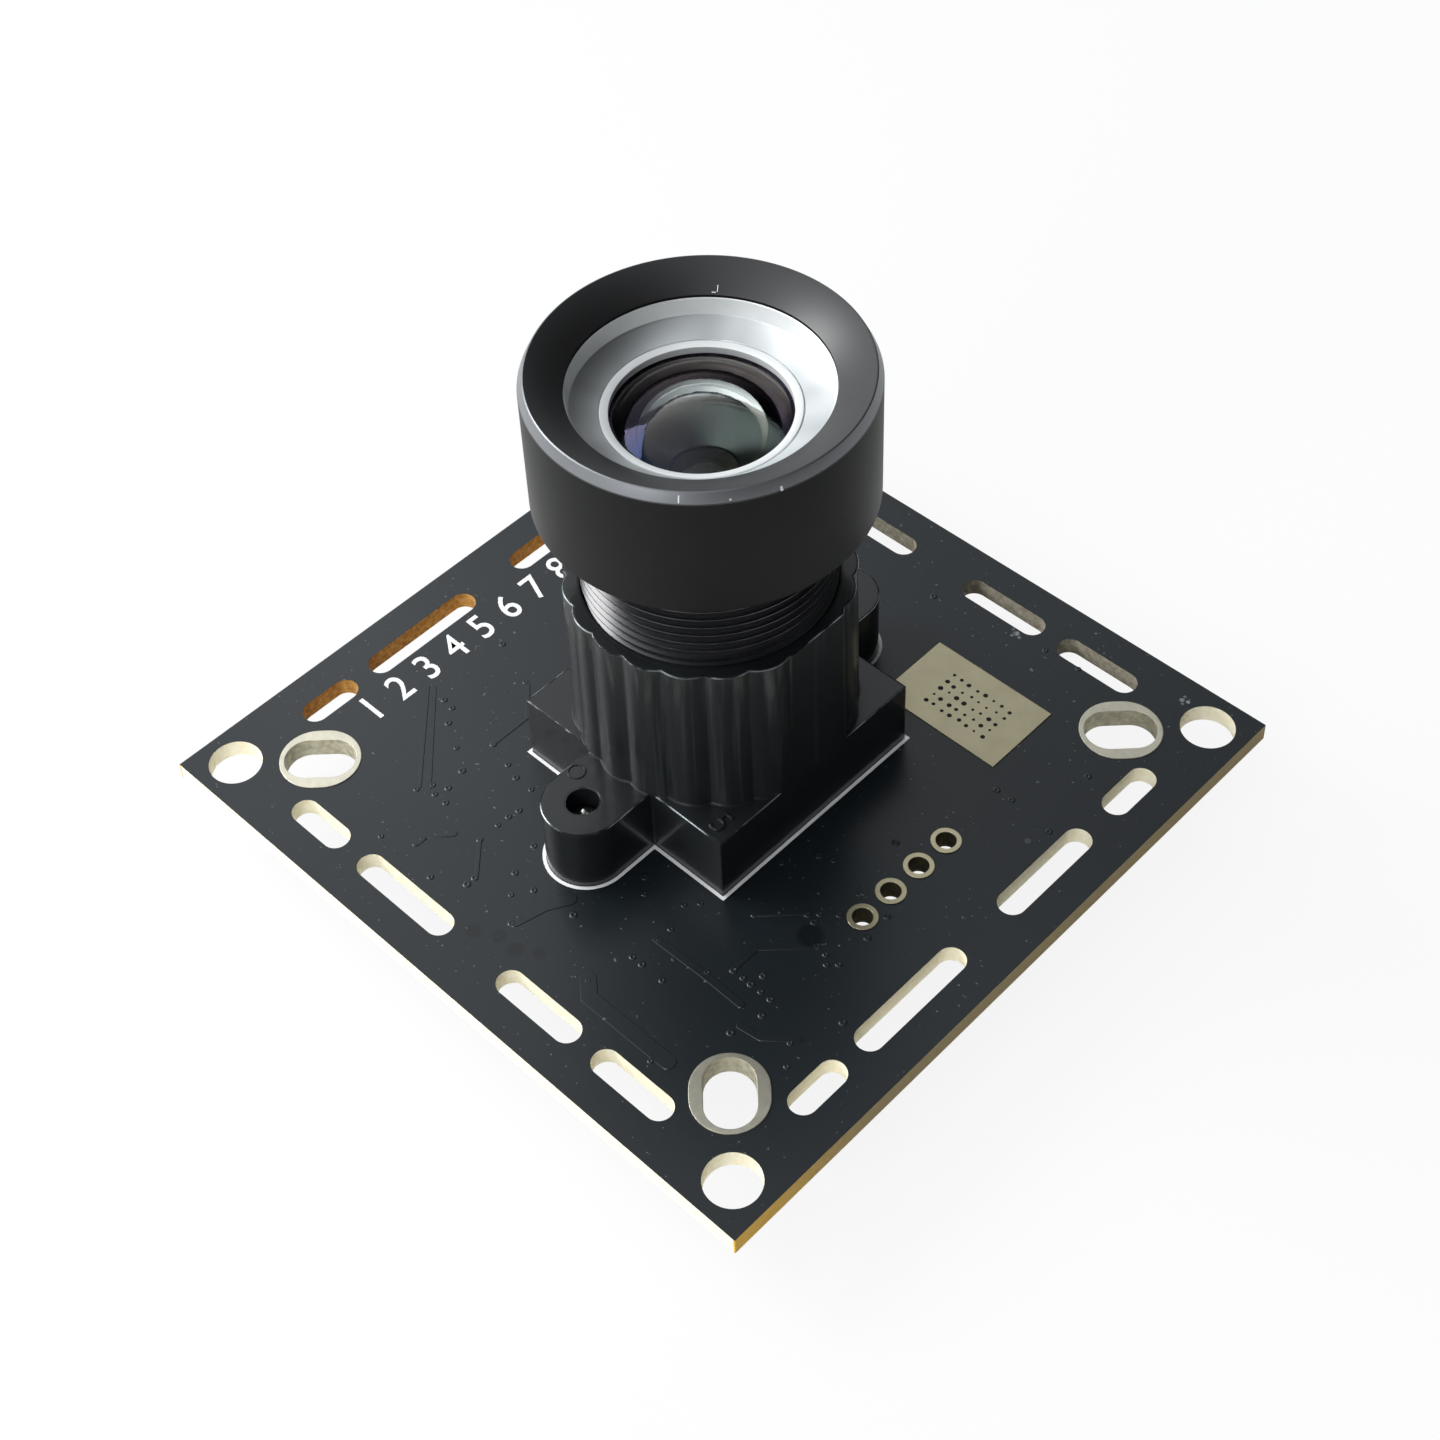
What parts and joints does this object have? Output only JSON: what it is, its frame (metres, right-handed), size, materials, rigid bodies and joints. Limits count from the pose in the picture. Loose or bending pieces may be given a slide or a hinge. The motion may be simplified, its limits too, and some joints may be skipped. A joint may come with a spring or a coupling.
{
  "type": "camera module",
  "caption": "Square circuit board camera with a threaded lens in a ribbed plastic holder, a snap-off slotted frame and plated mounting slots.",
  "frame": {"origin": "centre of the square board, level with the lowest faces of the connector and the crystal on its back", "axes": "+Z out of the lens along its axis, +Y towards the edge nearer the ground pad, +X towards the wire holes"},
  "size_m": [0.038, 0.038, 0.0294],
  "materials": {
    "black_laminate": "fibreglass board under a near-black satin solder mask",
    "gold_plating": "thin gold on copper, soft sheen",
    "black_moulding": "glossy black moulded plastic",
    "screw_steel": "nickel-plated steel screw",
    "black_anodised": "satin black turned metal",
    "bright_aluminium": "bright turned aluminium",
    "coated_glass": "coated optical glass",
    "inner_glass": "clear optical glass",
    "filter_glass": "cyan filter glass with a reflecting coating",
    "black_brass": "matt black sheet",
    "sensor_ceramic": "dark sensor package",
    "silicon": "polished silicon",
    "cream_plastic": "cream moulded connector",
    "tinned_metal": "tinned metal",
    "crystal_steel": "drawn steel can",
    "chip_plastic": "matt black moulding compound",
    "ferrite": "dark grey ferrite",
    "capacitor_ceramic": "brown ceramic with tinned ends",
    "resistor_ceramic": "black glazed ceramic with tinned ends"
  },
  "bodies": {
    "module": {"circuit_board": "black_laminate", "ground_pad": "gold_plating", "lens_holder": "black_moulding", "holder_screws": "screw_steel", "sensor_package": "sensor_ceramic", "sensor_silicon": "silicon", "sensor_cover_glass": "inner_glass", "infrared_filter": "filter_glass", "connector_housing": "cream_plastic", "connector_contacts": "tinned_metal", "connector_tabs": "tinned_metal", "crystal_can": "crystal_steel", "crystal_base": "chip_plastic", "crystal_leads": "tinned_metal", "image_processor": "chip_plastic", "memory_chip": "chip_plastic", "memory_chip_leads": "tinned_metal", "first_regulator": "chip_plastic", "first_regulator_leads": "tinned_metal", "second_regulator": "chip_plastic", "second_regulator_leads": "tinned_metal", "power_coil": "ferrite", "slot_plating_front_right": "gold_plating", "slot_plating_back_right": "gold_plating", "slot_plating_back_left": "gold_plating", "slot_plating_front_left": "gold_plating", "wire_hole_plating_1": "gold_plating", "wire_hole_plating_2": "gold_plating", "wire_hole_plating_3": "gold_plating", "wire_hole_plating_4": "gold_plating", "capacitor_1": "capacitor_ceramic", "resistor_1": "resistor_ceramic", "capacitor_2": "capacitor_ceramic", "resistor_2": "resistor_ceramic", "capacitor_3": "capacitor_ceramic", "resistor_3": "resistor_ceramic", "capacitor_4": "capacitor_ceramic", "resistor_4": "resistor_ceramic", "capacitor_5": "capacitor_ceramic", "resistor_5": "resistor_ceramic", "capacitor_6": "capacitor_ceramic", "resistor_6": "resistor_ceramic"},
    "focus_carriage": {"aperture_stop": "black_brass"},
    "lens": {"lens_barrel": "black_anodised", "front_retaining_ring": "bright_aluminium", "front_glass": "coated_glass", "second_glass": "inner_glass", "front_spacer": "black_anodised", "third_glass": "inner_glass", "rear_spacer": "black_anodised", "rear_glass": "inner_glass", "rear_retaining_ring": "black_anodised"}
  },
  "joints": [
    {"name": "focus_travel", "type": "slide", "parent": "module", "child": "focus_carriage", "axis": [0, 0, 1], "range_m": [-0.00101, 0.00301]},
    {"name": "lens_turn", "type": "hinge", "parent": "focus_carriage", "child": "lens", "pos_m": [0, 0, 0.0225], "axis": [0, 0, 1], "range_deg": [-720, 2160]}
  ],
  "couplings": [
    {"joint": "focus_travel", "follows": "lens_turn", "m_per_rad": 0.000079577}
  ]
}
